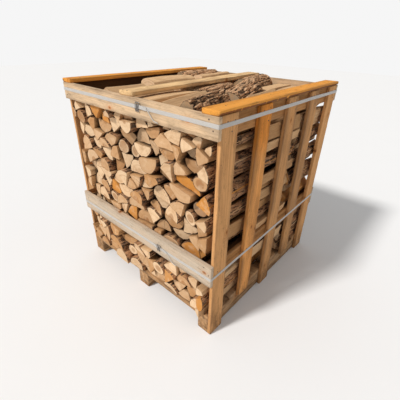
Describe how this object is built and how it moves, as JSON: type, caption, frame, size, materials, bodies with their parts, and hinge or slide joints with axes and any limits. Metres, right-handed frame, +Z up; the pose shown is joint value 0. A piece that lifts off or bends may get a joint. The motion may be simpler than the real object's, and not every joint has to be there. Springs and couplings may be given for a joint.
{
  "type": "firewood crate",
  "caption": "Slatted timber pallet crate with an open front, filled with stacked split firewood and held by two straps with wire buckles.",
  "frame": {"origin": "middle of the crate's footprint on the floor", "axes": "+Z up, +X to the right along the open front, +Y from the front to the back"},
  "size_m": [1.025, 1.086, 1.1],
  "materials": {
    "slat": "rough sawn softwood slats and battens, tan, fuzzy sawn face",
    "rail": "sawn pale softwood rails and centre board, lightly weathered",
    "weathered": "grey-white weathered softwood with dark grain streaks",
    "cap": "fresh resinous orange softwood cap boards",
    "base": "brown sawn pallet timber, dirty underneath",
    "split": "cream to orange split faces and sawn log ends with growth rings",
    "bark": "dark furrowed bark",
    "strap": "whitish polyester cord strapping, lengthwise fibres",
    "steel": "galvanised steel wire buckles"
  },
  "bodies": {
    "root": {"skid-left": "base", "stringer-left": "base", "skid-middle": "base", "stringer-middle": "base", "skid-right": "base", "stringer-right": "base", "deck-board-1": "base", "deck-board-2": "base", "deck-board-3": "base", "deck-board-4": "base", "deck-board-5": "base", "deck-board-6": "base", "slat-left-1": "slat", "slat-left-2": "slat", "slat-left-3": "slat", "slat-left-4": "slat", "slat-left-5": "slat", "batten-left-top": "slat", "batten-left-middle": "slat", "cap-left": "cap", "slat-right-1": "slat", "slat-right-2": "slat", "slat-right-3": "slat", "slat-right-4": "slat", "slat-right-5": "slat", "batten-right-top": "slat", "batten-right-middle": "slat", "cap-right": "cap", "rail-front-top": "rail", "rail-front-middle": "weathered", "rail-back-top": "rail", "rail-back-middle": "weathered", "centre-board": "rail", "strap-top": "strap", "buckle-top": "steel", "strap-lower": "strap", "buckle-lower": "steel", "firewood-row-front": "split", "firewood-row-middle": "split", "firewood-row-back": "split", "split-front-1": "split", "split-front-2": "split", "split-front-3": "split", "split-front-4": "split", "split-front-5": "split", "split-front-6": "bark", "split-middle-1": "split", "split-middle-2": "bark", "split-middle-3": "split", "split-middle-4": "bark", "split-middle-5": "bark", "split-back-1": "bark", "split-back-2": "split", "split-back-3": "split", "split-back-4": "bark", "split-back-5": "split", "split-back-6": "bark"}
  },
  "joints": []
}
